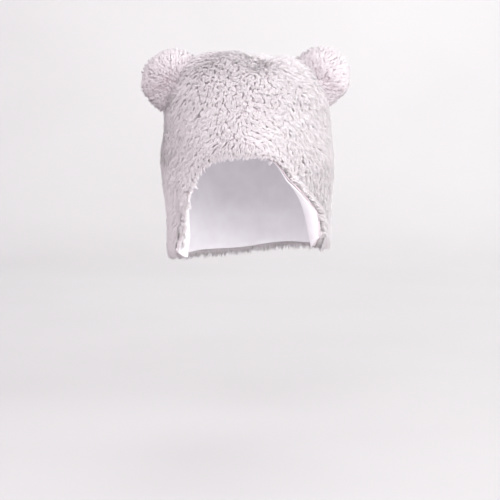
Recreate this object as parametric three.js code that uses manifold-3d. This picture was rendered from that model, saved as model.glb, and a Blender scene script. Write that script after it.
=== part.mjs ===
// Baby hat with bear ears: a plush helmet that covers the ears and the nape, lined with jersey.
// Millimetres, +Z up, the face looks along -Y. The origin is the inside top of the crown,
// where the top of the head comes up against the lining.
// Two plush panels, front and back, meet in a seam that runs up one side, over the crown and
// down the other side. An ear is set into that seam at each upper corner. The lining is one skin
// inside both panels and ends with them at the face opening and at the hem.

import * as THREE from 'three';
import Module from 'manifold-3d';
import { mergeVertices } from 'three/addons/utils/BufferGeometryUtils.js';

// Cloth layers
const BACKING = 1.0; // knitted backing that carries the pile
const GAP = 0.3; // room between pieces that touch
const LINING = 1.2; // jersey
const EDGE_OVERHANG = 5.0; // pile that stands out past the edge of the face opening
const HEM_OVERHANG = 6.0; // pile that hangs below the hem

// The cloth that carries the pile, from the top of the crown down. side is the half width,
// front and back are the depths from the seam, pile is how far the pile stands off the cloth.
const SECTIONS = [
  { height: 2.5, side: 0, front: 0, back: 0, pile: 9.0 },
  { height: 2.3, side: 23, front: 8, back: 9, pile: 9.0 },
  { height: 1.0, side: 38.5, front: 17, back: 18, pile: 9.0 },
  { height: -4, side: 49, front: 28, back: 30, pile: 9.0 },
  { height: -13, side: 57, front: 40, back: 43, pile: 9.0 },
  { height: -26, side: 64, front: 52, back: 55, pile: 8.8 },
  { height: -41, side: 68.5, front: 63, back: 66, pile: 8.4 },
  { height: -59, side: 70, front: 72, back: 74, pile: 8.0 },
  { height: -83, side: 73, front: 77.5, back: 78.5, pile: 7.6 },
  { height: -105, side: 72.6, front: 78, back: 78.5, pile: 7.5 },
  { height: -128, side: 69.6, front: 76, back: 76, pile: 7.5 },
  { height: -150, side: 68.8, front: 74, back: 72, pile: 7.5 },
  { height: -172, side: 69.5, front: 73, back: 70, pile: 7.5 },
  { height: -194, side: 70, front: 72, back: 69, pile: 7.5 },
];

// Hem: level, a little lower on the left and at the nape, and rounded up at the front corners
const HEM_HEIGHT = -170;
const HEM_SIDE_TILT = 6.5;
const HEM_FRONT_TILT = 3.0;
const HEM_WAVE = 1.0;
const HEM_WAVES = 5;
const HEM_CORNERS = [
  { azimuth: 36, reach: 11, rise: 6 },
  { azimuth: -32, reach: 9, rise: 2.5 },
];

// Edge of the face opening, from below the right corner up, over the brow and down the left side.
// azimuth is in degrees from the face, length is how much of the flap turns outward there,
// and turn is the angle in degrees that it has turned through at its edge.
const OPENING = [
  { azimuth: 41, height: -194, length: 32, turn: 80 },
  { azimuth: 38.5, height: -170, length: 34, turn: 87 },
  { azimuth: 32.5, height: -152, length: 36, turn: 99 },
  { azimuth: 26.5, height: -136, length: 36, turn: 115 },
  { azimuth: 21.5, height: -119, length: 32, turn: 108 },
  { azimuth: 19, height: -105, length: 26, turn: 88 },
  { azimuth: 18.5, height: -94, length: 20, turn: 60 },
  { azimuth: 15.5, height: -85.5, length: 15, turn: 34 },
  { azimuth: 8, height: -80, length: 12, turn: 12 },
  { azimuth: -2, height: -79, length: 10, turn: 0 },
  { azimuth: -13, height: -79.5, length: 10, turn: 0 },
  { azimuth: -24, height: -83.5, length: 11, turn: 2 },
  { azimuth: -32.5, height: -92, length: 14, turn: 9 },
  { azimuth: -37.5, height: -105, length: 20, turn: 24 },
  { azimuth: -38.5, height: -119, length: 27, turn: 46 },
  { azimuth: -34.5, height: -136, length: 32, turn: 72 },
  { azimuth: -31, height: -154, length: 34, turn: 92 },
  { azimuth: -32.3, height: -172, length: 34, turn: 100 },
  { azimuth: -34, height: -194, length: 32, turn: 100 },
];
const UNROLLED_RADIUS = 73; // turns an azimuth at the opening into a length along the cloth

// Soft dents and bumps of the crown: a line on the cloth, how far it reaches and how deep it goes
const DENTS = [
  { name: 'fullness by the left ear', from: [-34, 3, 2], to: [-46, 2, -3], reach: 11, depth: -3.0 },
  { name: 'bump of the seam', from: [-13, 4, 4], to: [-15, -14, 2], reach: 10, depth: -2.6 },
  { name: 'dip of the seam', from: [1, 4, 3], to: [2, -10, 0], reach: 6, depth: 1.6 },
  { name: 'fold in the crown', from: [27, 6, 2], to: [8, -26, -4], reach: 8, depth: 3.6 },
  { name: 'hollow over the brow', from: [-24, -70, -52], to: [20, -70, -50], reach: 16, depth: 1.5 },
];

// Ears: the outer form of the pile, a plump oval set into the seam across the upper corner.
// width is half its size along the seam, reach is half its size away from the seam.
const EARS = [
  { name: 'ear_left', side: -1, across: 70.5, up: -12.2, width: 31, reach: 27.5, thickness: 14.5, slant: 45 },
  { name: 'ear_right', side: 1, across: 67.2, up: -10.3, width: 29.5, reach: 29, thickness: 14, slant: 44 },
];
const EAR_SEGMENTS = 26;
const EAR_RINGS = 16;
const EAR_PLUMPNESS = 0.82; // below 1 the faces of the ear are flatter and its rim is rounder

// Grid of the cloth
const SEAM_STEPS = 20; // from the crown to the hem
const FRONT_STEPS = 11; // from the face opening to the seam
const BACK_STEPS = 20; // from one side seam to the other
const RIM_STEPS = 3;
const SEAM_CROWDING = 1.25; // above 1 the lines lie closer together by the face opening
const ROUND_FROM = 0.3; // share of the way to the hem where the lines start to run round the hat
const ROUND_AT = 0.85; // and where they run fully round it
const EDGE_SAMPLES = 240; // of the whole edge of the opening
const EDGE_STEPS = 400; // of the part of it above the hem
const HALVINGS = 30; // of a search between two values

// Small steps that directions are measured over
const SLOPE_STEP = 1e-3; // radians, and rows of the table
const CLOTH_STEP = 4e-3; // the same, over the turned flaps
const EDGE_STEP = 0.6; // into the cloth from its edge
const TOP_FALL = 0.05; // nearer to the top than this the cloth faces straight up
const LEAST_FALL = 0.02;
const LEAST_TURN = 1e-3; // below this a flap isn't turned
const FLAPS_END = -0.1; // cosine of the azimuth where the turned flaps have ended
const MERGE_DISTANCE = 1e-4;
const KEY_SCALE = 1e5; // points that agree to this many parts are one point

const radians = THREE.MathUtils.degToRad;
const UP = new THREE.Vector3(0, 0, 1);

// Value of a column of a table at a row number that may fall between two rows (Catmull-Rom)
function smooth(table, column, row) {
  const last = table.length - 1;
  const place = THREE.MathUtils.clamp(row, 0, last);
  const low = Math.min(Math.floor(place), last - 1);
  const t = place - low;
  const at = (k) => table[THREE.MathUtils.clamp(k, 0, last)][column];
  const [a, b, c, d] = [at(low - 1), at(low), at(low + 1), at(low + 2)];
  const slopeB = (c - a) / 2;
  const slopeC = (d - b) / 2;
  const rise = c - b;
  return b + t * (slopeB + t * (3 * rise - 2 * slopeB - slopeC + t * (slopeB + slopeC - 2 * rise)));
}

// The crown is even on both sides of its top, so its table goes on mirrored above the first row
const { side, front: ahead, back: behind } = SECTIONS[1];
const MIRRORED_TOP = { ...SECTIONS[1], side: -side, front: -ahead, back: -behind };
const CROWN = [MIRRORED_TOP, ...SECTIONS];

function section(fall, column) {
  return smooth(CROWN, column, fall + 1);
}

// How far down the table a height lies
function fallAt(height) {
  let low = 0;
  let high = SECTIONS.length - 1;
  for (let k = 0; k < HALVINGS; k++) {
    const middle = (low + high) / 2;
    if (section(middle, 'height') > height) low = middle;
    else high = middle;
  }
  return (low + high) / 2;
}

function hemHeight(azimuth) {
  const tilt = HEM_SIDE_TILT * Math.sin(azimuth) + HEM_FRONT_TILT * Math.cos(azimuth);
  let height = HEM_HEIGHT + tilt + HEM_WAVE * Math.sin(HEM_WAVES * azimuth + 1);
  for (const corner of HEM_CORNERS) {
    const away = (azimuth - radians(corner.azimuth)) / radians(corner.reach);
    height += corner.rise * Math.exp(-(away ** 2));
  }
  return height;
}

// The plain dome, before dents and turned flaps
function dome(azimuth, fall) {
  const depth = section(fall, Math.cos(azimuth) > 0 ? 'front' : 'back');
  const x = section(fall, 'side') * Math.sin(azimuth);
  return new THREE.Vector3(x, -depth * Math.cos(azimuth), section(fall, 'height'));
}

function domeNormal(azimuth, fall) {
  const low = Math.max(fall, LEAST_FALL);
  const round = dome(azimuth + SLOPE_STEP, low).sub(dome(azimuth - SLOPE_STEP, low));
  const down = dome(azimuth, low + SLOPE_STEP).sub(dome(azimuth, low - SLOPE_STEP));
  return down.cross(round).normalize();
}

function dentDepth(point) {
  let depth = 0;
  for (const dent of DENTS) {
    const line = new THREE.Line3(new THREE.Vector3(...dent.from), new THREE.Vector3(...dent.to));
    const nearest = line.closestPointToPoint(point, true, new THREE.Vector3());
    depth += dent.depth * Math.exp(-(nearest.distanceToSquared(point) / dent.reach ** 2));
  }
  return depth;
}

// Edge of the face opening, unrolled: x is the length round the hat and y is the height
const edgePoints = OPENING.map((p) => new THREE.Vector3(radians(p.azimuth) * UNROLLED_RADIUS, p.height, 0));
const edgeCurve = new THREE.CatmullRomCurve3(edgePoints, false, 'centripetal');
const edgeLine = Array.from({ length: EDGE_SAMPLES + 1 }, (_, k) => edgeCurve.getPoint(k / EDGE_SAMPLES));

// Nearest place on the edge: how far away it is, its row in the table and the way into the cloth
function nearestEdge(azimuth, height) {
  const here = new THREE.Vector3(azimuth * UNROLLED_RADIUS, height, 0);
  let best = { distance: Infinity };
  for (let k = 0; k < EDGE_SAMPLES; k++) {
    const line = new THREE.Line3(edgeLine[k], edgeLine[k + 1]);
    const t = line.closestPointToPointParameter(here, true);
    const distance = line.at(t, new THREE.Vector3()).distanceTo(here);
    if (distance < best.distance) best = { distance, k, t };
  }
  const row = ((best.k + best.t) / EDGE_SAMPLES) * (OPENING.length - 1);
  const along = edgeCurve.getTangent((best.k + best.t) / EDGE_SAMPLES);
  return { distance: best.distance, row, inward: new THREE.Vector2(along.y, -along.x) };
}

// The cloth: the dome with its dents, and with the front edges of the flaps turned outward
function cloth(azimuth, fall) {
  const point = dome(azimuth, fall);
  point.addScaledVector(domeNormal(azimuth, fall), -dentDepth(point));
  if (Math.cos(azimuth) < FLAPS_END) return point;
  const edge = nearestEdge(azimuth, section(fall, 'height'));
  const length = smooth(OPENING, 'length', edge.row);
  const turned = length - edge.distance;
  const turn = radians(Math.max(smooth(OPENING, 'turn', edge.row), 0));
  if (turned <= 0 || turn < LEAST_TURN) return point;
  const radius = length / turn;
  const angle = turned / radius;
  const anchorAzimuth = azimuth + (edge.inward.x * turned) / UNROLLED_RADIUS;
  const anchorFall = fallAt(section(fall, 'height') + edge.inward.y * turned);
  const outward = domeNormal(anchorAzimuth, anchorFall);
  const onward = dome(anchorAzimuth + SLOPE_STEP, anchorFall);
  const round = onward.sub(dome(anchorAzimuth - SLOPE_STEP, anchorFall)).normalize();
  const above = new THREE.Vector3().crossVectors(outward, round);
  const inward = round.multiplyScalar(edge.inward.x).addScaledVector(above, edge.inward.y);
  point.addScaledVector(inward, turned - radius * Math.sin(angle));
  return point.addScaledVector(outward, radius * (1 - Math.cos(angle)));
}

function clothNormal(azimuth, fall) {
  if (fall < TOP_FALL) return UP.clone();
  const round = cloth(azimuth + CLOTH_STEP, fall).sub(cloth(azimuth - CLOTH_STEP, fall));
  const down = cloth(azimuth, fall + CLOTH_STEP).sub(cloth(azimuth, fall - CLOTH_STEP));
  return down.cross(round).normalize();
}

// The two panels meet in the plane y = 0, so the cloth of a point on the seam stays in it
function clothPoint({ azimuth, fall }) {
  const place = cloth(azimuth, fall);
  const normal = clothNormal(azimuth, fall);
  if (Math.abs(Math.cos(azimuth)) < 1e-6 || fall === 0) {
    place.y = 0;
    normal.setY(0).normalize();
  }
  return { place, normal };
}

// Points of the two panels. Each one knows where it lies on the cloth and which edge it is on.
const hemFall = (azimuth) => fallAt(hemHeight(azimuth));

function openingRow(fromEnd) {
  const isAbove = (s) => {
    const p = edgeCurve.getPoint(s);
    return p.y > hemHeight(p.x / UNROLLED_RADIUS);
  };
  let outside = fromEnd;
  let inside = 0.5;
  for (let k = 0; k < HALVINGS; k++) {
    const middle = (outside + inside) / 2;
    if (isAbove(middle)) inside = middle;
    else outside = middle;
  }
  return inside;
}

// The edge of the opening between the two front corners, in steps of equal length
function openingPoints(steps) {
  const start = openingRow(0);
  const end = openingRow(1);
  const at = (k) => edgeCurve.getPoint(start + ((end - start) * k) / EDGE_STEPS);
  const fine = Array.from({ length: EDGE_STEPS + 1 }, (_, k) => at(k));
  const lengths = [0];
  for (let k = 1; k < fine.length; k++) lengths.push(lengths[k - 1] + fine[k].distanceTo(fine[k - 1]));
  const points = [];
  for (let j = 0; j <= steps; j++) {
    const wanted = (lengths.at(-1) * j) / steps;
    const k = Math.max(lengths.findIndex((length) => length >= wanted - 1e-9), 1);
    const t = (wanted - lengths[k - 1]) / (lengths[k] - lengths[k - 1]);
    points.push(fine[k - 1].clone().lerp(fine[k], t));
  }
  return points;
}

function frontGrid() {
  const grid = [];
  const edge = openingPoints(2 * SEAM_STEPS);
  for (let j = 0; j <= 2 * SEAM_STEPS; j++) {
    const toCrown = Math.abs(j - SEAM_STEPS) / SEAM_STEPS;
    const seamAzimuth = radians(j <= SEAM_STEPS ? 90 : -90);
    const seamFall = hemFall(seamAzimuth) * toCrown;
    const edgeAzimuth = edge[j].x / UNROLLED_RADIUS;
    const edgeFall = fallAt(edge[j].y);
    const edgeX = edgeFall * Math.sin(edgeAzimuth);
    const edgeY = edgeFall * Math.cos(edgeAzimuth);
    const isHem = j === 0 || j === 2 * SEAM_STEPS;
    const roundness = THREE.MathUtils.smoothstep(toCrown, ROUND_FROM, ROUND_AT);
    const line = [];
    for (let i = 0; i <= FRONT_STEPS; i++) {
      const t = (i / FRONT_STEPS) ** SEAM_CROWDING;
      const roundAzimuth = THREE.MathUtils.lerp(edgeAzimuth, seamAzimuth, t);
      const roundFall = isHem ? hemFall(roundAzimuth) : THREE.MathUtils.lerp(edgeFall, seamFall, t);
      const flatX = THREE.MathUtils.lerp(edgeX, seamFall * Math.sign(seamAzimuth), t);
      const flatY = THREE.MathUtils.lerp(edgeY, 0, t);
      const x = THREE.MathUtils.lerp(flatX, roundFall * Math.sin(roundAzimuth), roundness);
      const y = THREE.MathUtils.lerp(flatY, roundFall * Math.cos(roundAzimuth), roundness);
      line.push({ azimuth: Math.atan2(x, y), fall: Math.hypot(x, y), onOpening: i === 0, onHem: isHem });
    }
    Object.assign(line[FRONT_STEPS], { azimuth: seamAzimuth, fall: seamFall });
    grid.push(line);
  }
  return grid;
}

function backGrid() {
  const grid = [];
  for (let j = 0; j <= BACK_STEPS; j++) {
    const azimuth = radians(90 + (180 * j) / BACK_STEPS);
    const line = [];
    for (let k = 0; k <= SEAM_STEPS; k++) {
      const fall = (hemFall(azimuth) * k) / SEAM_STEPS;
      line.push({ azimuth, fall, onOpening: false, onHem: k === SEAM_STEPS });
    }
    grid.push(line);
  }
  return grid;
}

// A patch is a list of points and the triangles between them; points at one place are shared
function patch(grids) {
  const points = [];
  const seen = new Map();
  const indexOf = (p) => {
    const x = p.fall * Math.sin(p.azimuth);
    const y = p.fall * Math.cos(p.azimuth);
    const key = `${Math.round(x * KEY_SCALE) + 0},${Math.round(y * KEY_SCALE) + 0}`;
    if (!seen.has(key)) {
      seen.set(key, points.length);
      points.push({ ...p, ...clothPoint(p) });
    }
    return seen.get(key);
  };
  const triangles = [];
  const add = (a, b, c) => {
    if (a !== b && b !== c && c !== a) triangles.push([a, b, c]);
  };
  for (const grid of grids) {
    const index = grid.map((line) => line.map(indexOf));
    for (let j = 0; j < index.length - 1; j++) {
      for (let i = 0; i < index[j].length - 1; i++) {
        const [a, b, c, d] = [index[j][i], index[j + 1][i], index[j + 1][i + 1], index[j][i + 1]];
        add(a, b, c);
        add(a, c, d);
      }
    }
  }
  return { points, triangles };
}

// The edges that only one triangle uses, in the order and direction of the triangles
function border(triangles) {
  const next = new Map();
  const used = new Set(triangles.flatMap(([a, b, c]) => [`${a},${b}`, `${b},${c}`, `${c},${a}`]));
  for (const [a, b, c] of triangles) {
    for (const [from, to] of [[a, b], [b, c], [c, a]]) {
      if (!used.has(`${to},${from}`)) next.set(from, to);
    }
  }
  const loop = [];
  let at = next.keys().next().value;
  while (loop.length < next.size) {
    loop.push(at);
    at = next.get(at);
  }
  return loop;
}

// The way out past the edge of the cloth at a point of the border
function overhang(p, scale) {
  const way = new THREE.Vector3();
  if (p.onHem) way.z -= HEM_OVERHANG;
  if (p.onOpening) {
    const edge = nearestEdge(p.azimuth, section(p.fall, 'height'));
    const azimuth = p.azimuth + (edge.inward.x * EDGE_STEP) / UNROLLED_RADIUS;
    const height = section(p.fall, 'height') + edge.inward.y * EDGE_STEP;
    const inside = cloth(azimuth, fallAt(height));
    way.addScaledVector(p.place.clone().sub(inside).normalize(), EDGE_OVERHANG);
  }
  return way.multiplyScalar(scale);
}

function geometryOf(vertices, triangles) {
  const geometry = new THREE.BufferGeometry();
  const places = vertices.flatMap((v) => v.toArray());
  geometry.setAttribute('position', new THREE.Float32BufferAttribute(places, 3));
  geometry.setIndex(triangles.flat());
  let volume = 0;
  for (const [a, b, c] of triangles) {
    volume += vertices[a].dot(new THREE.Vector3().crossVectors(vertices[b], vertices[c]));
  }
  if (volume < 0) geometry.setIndex(triangles.flatMap(([a, b, c]) => [a, c, b]));
  geometry.computeVertexNormals();
  return geometry;
}

// A closed wall on a patch: outerOf and innerOf give the two distances from the cloth at a point,
// and bulge is how much of the pile's overhang its rim has
function wall({ points, triangles }, outerOf, innerOf, bulge) {
  const vertices = [];
  for (const p of points) vertices.push(p.place.clone().addScaledVector(p.normal, outerOf(p)));
  for (const p of points) vertices.push(p.place.clone().addScaledVector(p.normal, innerOf(p)));
  const faces = triangles.map((t) => [...t]);
  for (const [a, b, c] of triangles) faces.push([c + points.length, b + points.length, a + points.length]);
  const steps = bulge > 0 ? RIM_STEPS : 1;
  const rims = border(triangles).map((k) => {
    const rim = [k];
    const way = overhang(points[k], bulge);
    for (let r = 1; r < steps; r++) {
      const angle = (Math.PI * r) / steps;
      const middle = vertices[k].clone().lerp(vertices[k + points.length], (1 - Math.cos(angle)) / 2);
      rim.push(vertices.push(middle.addScaledVector(way, Math.sin(angle))) - 1);
    }
    return [...rim, k + points.length];
  });
  rims.forEach((rim, j) => {
    const other = rims[(j + 1) % rims.length];
    for (let r = 0; r < steps; r++) {
      faces.push([other[r], rim[r], rim[r + 1]]);
      faces.push([other[r], rim[r + 1], other[r + 1]]);
    }
  });
  return geometryOf(vertices, faces);
}

const pileOf = (p) => section(p.fall, 'pile');
const front = patch([frontGrid()]);
const back = patch([backGrid()]);
const both = patch([frontGrid(), backGrid()]);

// Solids for the ears' cut
const wasm = await Module();
wasm.setup();

function solidOf(geometry) {
  const bare = geometry.clone();
  bare.deleteAttribute('normal');
  bare.deleteAttribute('uv');
  const merged = mergeVertices(bare, MERGE_DISTANCE);
  const mesh = new wasm.Mesh({
    numProp: 3,
    vertProperties: new Float32Array(merged.attributes.position.array),
    triVerts: new Uint32Array(merged.index.array),
  });
  return new wasm.Manifold(mesh);
}

function geometryOfSolid(solid) {
  const mesh = solid.getMesh();
  const geometry = new THREE.BufferGeometry();
  geometry.setAttribute('position', new THREE.BufferAttribute(mesh.vertProperties, 3));
  geometry.setIndex(new THREE.BufferAttribute(mesh.triVerts, 1));
  geometry.computeVertexNormals();
  return geometry;
}

// The crown's outer form with room round it, closed below by a fan to the middle of the hollow
function crownForm() {
  const vertices = both.points.map((p) => p.place.clone().addScaledVector(p.normal, pileOf(p) + GAP));
  const middle = vertices.push(new THREE.Vector3(0, 0, HEM_HEIGHT / 2)) - 1;
  const faces = both.triangles.map((t) => [...t]);
  const loop = border(both.triangles);
  loop.forEach((k, j) => faces.push([loop[(j + 1) % loop.length], k, middle]));
  return solidOf(geometryOf(vertices, faces));
}

function earGeometry({ side, across, up, width, reach, thickness, slant }, crown) {
  const ball = new THREE.SphereGeometry(1, EAR_SEGMENTS, EAR_RINGS);
  const outward = new THREE.Vector3(side * Math.cos(radians(slant)), 0, Math.sin(radians(slant)));
  const along = new THREE.Vector3(-outward.z, 0, outward.x);
  const middle = new THREE.Vector3(side * across, 0, up);
  const place = ball.attributes.position;
  for (let k = 0; k < place.count; k++) {
    const unit = new THREE.Vector3().fromBufferAttribute(place, k);
    const lateral = Math.sign(unit.z) * Math.abs(unit.z) ** EAR_PLUMPNESS * thickness;
    const point = middle.clone().addScaledVector(outward, unit.y * reach);
    point.addScaledVector(along, unit.x * width);
    point.y += lateral;
    place.setXYZ(k, point.x, point.y, point.z);
  }
  ball.deleteAttribute('normal');
  ball.deleteAttribute('uv');
  const merged = mergeVertices(ball, MERGE_DISTANCE);
  const vertices = [];
  for (let k = 0; k < merged.attributes.position.count; k++) {
    vertices.push(new THREE.Vector3().fromBufferAttribute(merged.attributes.position, k));
  }
  const faces = [];
  for (let k = 0; k < merged.index.count; k += 3) faces.push([...merged.index.array.slice(k, k + 3)]);
  const cut = solidOf(geometryOf(vertices, faces)).subtract(crown);
  const largest = cut.decompose().sort((a, b) => b.volume() - a.volume())[0];
  return geometryOfSolid(largest);
}

// Finish
const plush = { color: 0xd9d0d4, roughness: 0.95, metalness: 0 };
const jersey = { color: 0xf0edf4, roughness: 0.8, metalness: 0 };

const hat = new THREE.Group();

function add(name, geometry, finish) {
  const mesh = new THREE.Mesh(geometry, new THREE.MeshStandardMaterial(finish));
  mesh.name = name;
  hat.add(mesh);
  return mesh;
}

const backingOf = () => -BACKING;
add('front_panel', wall(front, pileOf, backingOf, 1), plush).position.y = -GAP / 2;
add('back_panel', wall(back, pileOf, backingOf, 1), plush).position.y = GAP / 2;
add('lining', wall(both, () => -BACKING - GAP, () => -BACKING - GAP - LINING, 0), jersey);
const crown = crownForm();
for (const ear of EARS) add(ear.name, earGeometry(ear, crown), plush);

export default hat;
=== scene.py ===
import math

import bpy
import numpy as np
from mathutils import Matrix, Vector, kdtree


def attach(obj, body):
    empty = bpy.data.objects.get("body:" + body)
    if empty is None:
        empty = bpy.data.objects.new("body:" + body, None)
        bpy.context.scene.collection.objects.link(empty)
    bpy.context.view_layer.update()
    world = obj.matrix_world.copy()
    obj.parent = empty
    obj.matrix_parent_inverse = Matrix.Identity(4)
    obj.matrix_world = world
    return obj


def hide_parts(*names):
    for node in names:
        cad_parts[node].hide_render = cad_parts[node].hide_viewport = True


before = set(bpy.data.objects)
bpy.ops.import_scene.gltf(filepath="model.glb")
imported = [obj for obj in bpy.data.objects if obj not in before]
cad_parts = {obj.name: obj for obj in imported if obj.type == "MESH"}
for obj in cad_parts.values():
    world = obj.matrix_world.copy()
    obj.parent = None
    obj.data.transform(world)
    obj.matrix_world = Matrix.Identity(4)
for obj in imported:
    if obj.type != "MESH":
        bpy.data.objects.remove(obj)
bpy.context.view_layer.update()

# Looks of a plush baby hat with bear ears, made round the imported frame. Metres, +Z up, and the face
# looks along -Y.
#
# The cloth that carries the pile is one surface, worked out from a table of sections and from the edge
# of the face opening, where the flaps turn outward. Every piece grows from it: the backings of the two
# panels, the lining, and the pile. The pile is tapered tufts that lean, swirl and gather into locks.

MM = 0.001

# ---------------------------------------------------------------- sizes, in millimetres

BACKING = 1.0  # knitted backing that carries the pile
UNDER_PILE = 0.32  # share of the pile's height that is too dense to see into, and is part of the backing
UNDER_PILE_BUMPS = 0.7
UNDER_PILE_THINS = {"share": 0.9, "reach": 5}  # towards the edge of the face opening
GAP = 0.3  # room between the backing and the lining
LINING = 1.2  # jersey
LINING_SET_BACK = 2.0  # from the edge of the face opening
LINING_WRINKLE = {"depth": 0.35, "outside": 0.6, "upright": 0.45}
LINING_UNEVEN = 0.25
RIM = {"backing": 0.4, "lining": 0.5}  # how far the rounded rims stand out

# The cloth that carries the pile, from the top of the crown down
SECTION_COLUMNS = ("height", "side", "front", "back", "pile")
SECTIONS = np.array([
    (2.5, 0, 0, 0, 9.0),
    (2.3, 23, 8, 9, 9.0),
    (1.0, 38.5, 17, 18, 9.0),
    (-4, 49, 28, 30, 9.0),
    (-13, 57, 40, 43, 9.0),
    (-26, 64, 52, 55, 8.8),
    (-41, 68.5, 63, 66, 8.4),
    (-59, 70, 72, 74, 8.0),
    (-83, 73, 77.5, 78.5, 7.6),
    (-105, 72.6, 78, 78.5, 7.5),
    (-128, 69.6, 76, 76, 7.5),
    (-150, 68.8, 74, 72, 7.5),
    (-172, 69.5, 73, 70, 7.5),
    (-194, 70, 72, 69, 7.5),
])
LAST_ROW = len(SECTIONS) - 1

# Hem: level, a little lower on the left and at the nape, and rounded up at the front corners
HEM_HEIGHT = -170
HEM_SIDE_TILT = 6.5
HEM_FRONT_TILT = 3.0
HEM_WAVE = 1.0
HEM_WAVES = 5
HEM_WAVE_START = 1
HEM_CORNERS = [
    {"azimuth": 36, "reach": 11, "rise": 6},
    {"azimuth": -32, "reach": 9, "rise": 2.5},
]

# Edge of the face opening, from below the right corner up, over the brow and down the left side
OPENING_COLUMNS = ("azimuth", "height", "length", "turn")
OPENING = np.array([
    (41, -194, 32, 80),
    (38.5, -170, 34, 87),
    (32.5, -152, 36, 99),
    (26.5, -136, 36, 115),
    (21.5, -119, 32, 108),
    (19, -105, 26, 88),
    (18.5, -94, 20, 60),
    (15.5, -85.5, 15, 34),
    (8, -80, 12, 12),
    (-2, -79, 10, 0),
    (-13, -79.5, 10, 0),
    (-24, -83.5, 11, 2),
    (-32.5, -92, 14, 9),
    (-37.5, -105, 20, 24),
    (-38.5, -119, 27, 46),
    (-34.5, -136, 32, 72),
    (-31, -154, 34, 92),
    (-32.3, -172, 34, 100),
    (-34, -194, 32, 100),
])
UNROLLED_RADIUS = 73
TURNS_BELOW = -60  # no cloth above this height turns with the flaps
TURNS_AHEAD = -0.1  # nor any behind this cosine of the azimuth

# Soft dents (and bumps, with a negative depth) of the crown, each along a line on the cloth
DENTS = [
    {"start": (-34, 3, 2), "end": (-46, 2, -3), "reach": 11, "depth": -3.0},
    {"start": (-13, 4, 4), "end": (-15, -14, 2), "reach": 10, "depth": -2.6},
    {"start": (1, 4, 3), "end": (2, -10, 0), "reach": 6, "depth": 1.6},
    {"start": (27, 6, 2), "end": (8, -26, -4), "reach": 8, "depth": 3.6},
    {"start": (-24, -70, -52), "end": (20, -70, -50), "reach": 16, "depth": 1.5},
]

# Ears: the outer form of the pile, an oval across the upper corner
EAR_PILE = 8.5
EARS = {
    "ear_left": {
        "side": -1, "across": 70.5, "up": -12.2, "width": 31, "reach": 27.5, "depth": 14.5, "slant": 45,
    },
    "ear_right": {
        "side": 1, "across": 67.2, "up": -10.3, "width": 29.5, "reach": 29, "depth": 14, "slant": 44,
    },
}
EAR_ROOT = 15.0  # from the middle of an ear down to the seam that it is sewn into
EAR_NECK = 0.8  # how straight an ear goes down from its middle
EAR_FLATNESS = 0.82  # power that fills out its front and back
EAR_PAD_DEPTH = 0.62  # share of the pile's height that lies over the pad
EAR_PAD_LUMPS = 0.5

# Grids
BACKING_STEPS = {"seam": 64, "front": 34, "back": 60}
LINING_STEPS = {"seam": 72, "front": 40, "back": 64}
EAR_STEPS = {"rings": 28, "segments": 40}
RIM_STEPS = 3
SEAM_CROWDING = 1.25  # power that draws the lines of the front grid to the opening
ROUND_FROM = 0.3  # share of the way to the crown where the front grid's lines start to run round it
ROUND_OVER = 0.55
CROWN_ROWS = 12  # rows from the crown in which a rim on the seam doesn't stand out

# Soft noises: the size of their features, and the seed
NOISES = {
    "wide_swirl": (52, 3),
    "fine_swirl": (17, 4),
    "pile_height": (22, 5),
    "pile_tone": (30, 6),
    "ear_swirl": (20, 40),
    "ear_height": (24, 3),
    "ear_tone": (18, 9),
    "ear_lumps": (9, 12),
    "under_pile": (7, 21),
    "wrinkles": (16, 31),
    "uneven": (24, 32),
}
WAVES = {"number": 9, "lengths": (0.4, 1.0), "height": 1.6}
TOP_ROW = 0.02  # just below the top of the crown, where the way down has no length
SAMPLES = {"fall": 2600, "edge": 200, "corners": 4000, "azimuth_cells": 91, "fall_cells": 260}

# ---------------------------------------------------------------- how the pile lies
# Reaches are in millimetres along the cloth and turns in radians. The rest are shares.

TUFT_SHARE = 1.0
TUFT_ROOT = 0.8  # depth of the roots in the cloth, in millimetres
BEND_HEIGHT = 0.76  # share of a tuft's height at its bend
BEND_LEAN = 0.34  # and share of its lean
SIDE_LEAN = 0.2  # share of the lean in the way that a tuft's sides face
TINY = 1e-3  # keeps a way from having no length
# The colour of a tuft darkens towards its root by these, as painted shade deep in the pile
ALONG = (0, 0.55, 0.55, 0.55, 1)  # how far the root, the three points of the bend and the tip are up a tuft
NAP_LEAN = 0.25  # the pile is shaded as one soft nap, which leans a little with its tufts
OWN_SHADE = 0.45  # share of each tuft's own roundness in its shading
CLUMP = 14  # tufts that gather into one lock
LOCK_LENGTH = 0.9  # what is left of the distances between the tips of a lock, along it
LOCK_WIDTH = 0.15  # and across it

# Parts of the pile: where each lies round the hat, its tufts for each square millimetre, and their width
PILES = [
    {"name": "pile_right_side", "node": "front_panel", "azimuths": (48, 90), "density": 2.0, "width": 0.7},
    {"name": "pile_right", "node": "front_panel", "azimuths": (0, 48), "density": 2.0, "width": 0.7},
    {"name": "pile_left", "node": "front_panel", "azimuths": (-48, 0), "density": 2.0, "width": 0.7},
    {"name": "pile_left_side", "node": "front_panel", "azimuths": (-90, -48), "density": 2.0, "width": 0.7},
    {"name": "pile_back_right", "node": "back_panel", "azimuths": (90, 181), "density": 1.12, "width": 0.86},
    {"name": "pile_back_left", "node": "back_panel", "azimuths": (179, 270), "density": 1.12, "width": 0.86},
]
PILE_SEED = 100
HEM_CROWDING = {"more": 1.8, "reach": 6}
EDGE_CROWDING = {"more": 0.8, "reach": 3.5}

EDGE_REACH = 8  # combed over the edge of the face opening
TIP_REACH = (7, 12)  # tipped over that edge, at the brow and on a flap
LIP_REACH = 4  # the very edge
HEM_REACH = 9  # combed straight down at the hem
HEM_SPREAD = 0.35  # power that carries the combing further up from the hem
FLAP_TOP = -88
FLAP_FADE = 25

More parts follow.
